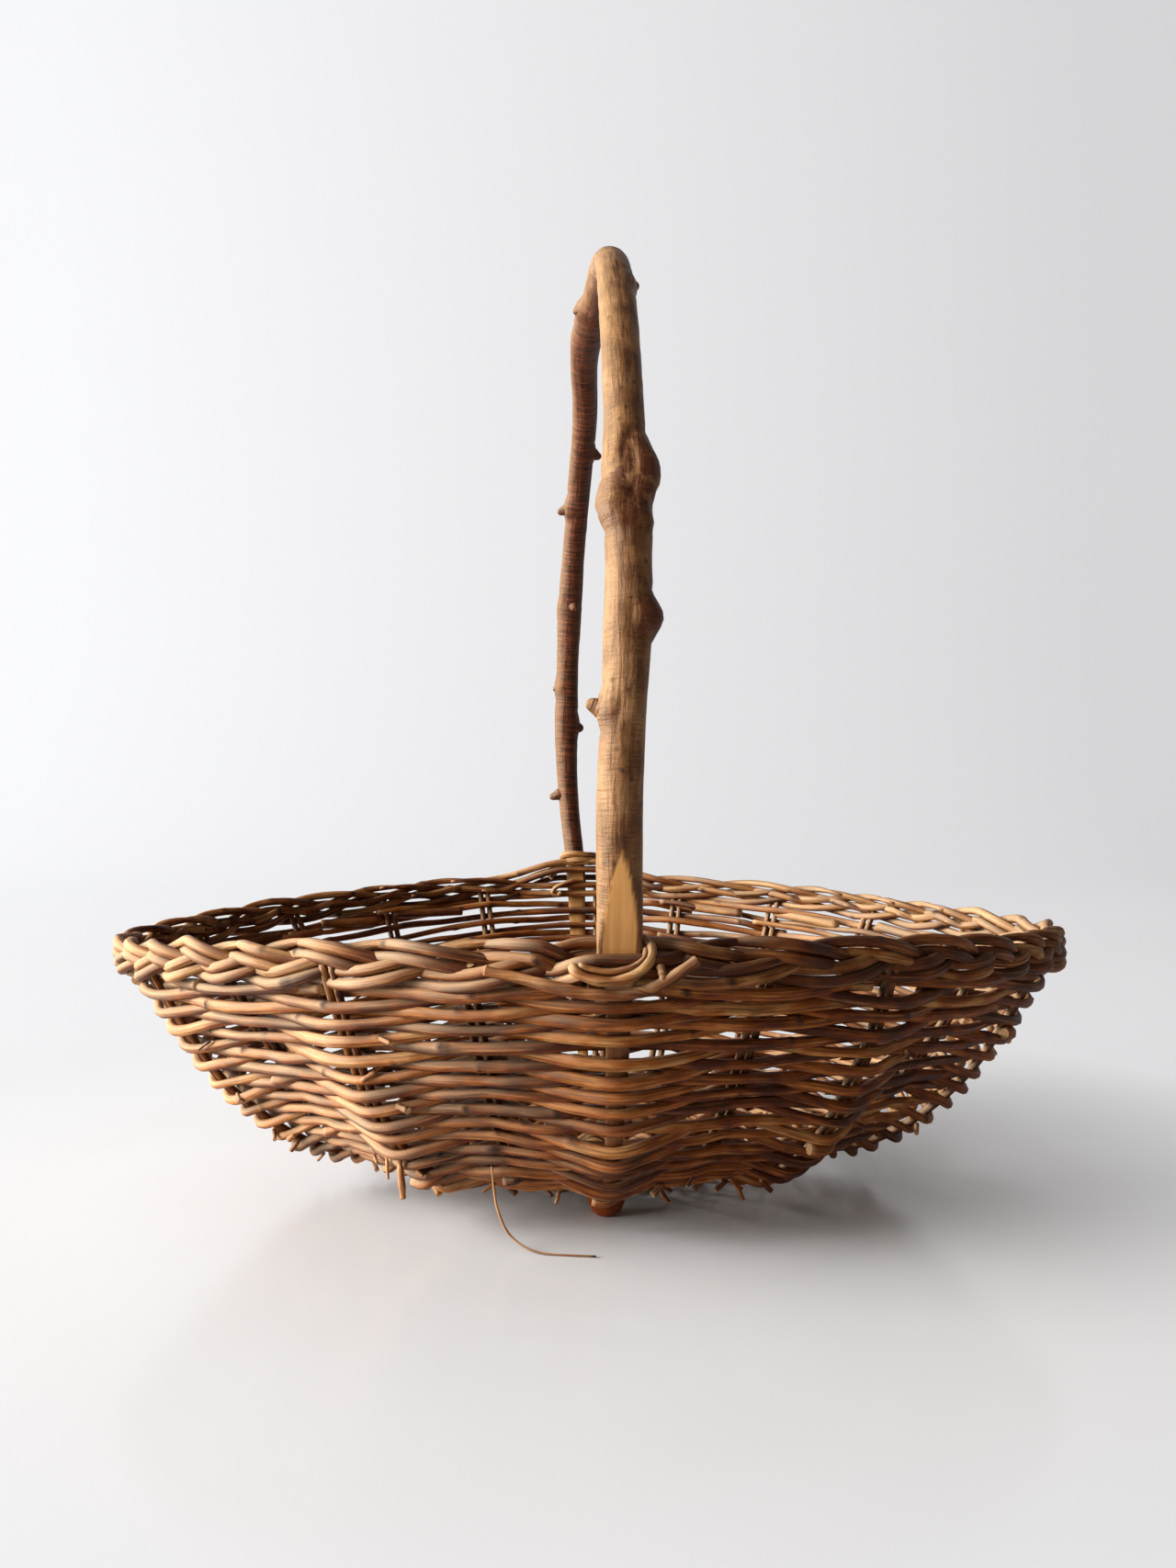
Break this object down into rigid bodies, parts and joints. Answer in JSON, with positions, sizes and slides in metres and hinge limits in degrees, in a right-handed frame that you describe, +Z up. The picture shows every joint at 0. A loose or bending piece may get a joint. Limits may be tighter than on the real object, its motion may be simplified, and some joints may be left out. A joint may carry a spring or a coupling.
{
  "type": "gathering basket",
  "caption": "Oval woven willow gathering basket with a shallow open bowl, a twisted rod border and a tall bent branch handle across the middle.",
  "frame": {"origin": "on the table under the middle of the bowl, at the flat underside of the base mat", "axes": "+X along the bowl's long axis, +Y across it from the thick handle leg to the thin one, +Z up"},
  "size_m": [0.509, 0.3759, 0.49],
  "materials": {
    "bark_branch": "smooth bark, worn and slightly shiny",
    "willow_border": "aged willow rod, satin",
    "willow_stakes": "aged willow rod, satin",
    "willow_rows": "aged willow rod, satin",
    "willow_base": "aged willow rod, satin",
    "foot_wood": "reddish wood, worn smooth"
  },
  "bodies": {
    "root": {"handle_branch": "bark_branch", "near_leg_binding": "willow_border", "far_leg_binding": "willow_border", "border_rod_1": "willow_border", "border_rod_2": "willow_border", "border_rod_3": "willow_border", "stake_pair_01": "willow_stakes", "stake_pair_02": "willow_stakes", "stake_pair_03": "willow_stakes", "stake_pair_04": "willow_stakes", "stake_pair_05": "willow_stakes", "stake_pair_06": "willow_stakes", "stake_pair_07": "willow_stakes", "stake_pair_08": "willow_stakes", "stake_pair_09": "willow_stakes", "stake_pair_11": "willow_stakes", "stake_pair_12": "willow_stakes", "stake_pair_13": "willow_stakes", "stake_pair_14": "willow_stakes", "stake_pair_15": "willow_stakes", "stake_pair_16": "willow_stakes", "stake_pair_17": "willow_stakes", "stake_pair_18": "willow_stakes", "stake_pair_19": "willow_stakes", "weaver_row_01": "willow_rows", "weaver_row_02": "willow_rows", "weaver_row_03": "willow_rows", "weaver_row_04": "willow_rows", "weaver_row_05": "willow_rows", "weaver_row_06": "willow_rows", "weaver_row_07": "willow_rows", "weaver_row_08": "willow_rows", "weaver_row_09": "willow_rows", "weaver_row_10": "willow_rows", "weaver_row_11": "willow_rows", "weaver_row_12": "willow_rows", "weaver_row_13": "willow_rows", "weaver_row_14": "willow_rows", "weaver_row_15": "willow_rows", "weaver_row_16": "willow_rows", "weaver_row_17": "willow_rows", "weaver_row_18": "willow_rows", "weaver_row_19": "willow_rows", "weaver_row_20": "willow_rows", "weaver_row_21": "willow_rows", "weaver_row_22": "willow_rows", "weaver_row_23": "willow_rows", "weaver_row_24": "willow_rows", "base_mat": "willow_base", "base_stick_1": "willow_base", "base_stick_2": "willow_base", "base_stick_3": "willow_base", "base_stick_4": "willow_base", "near_foot": "foot_wood", "far_foot": "foot_wood"}
  },
  "joints": []
}
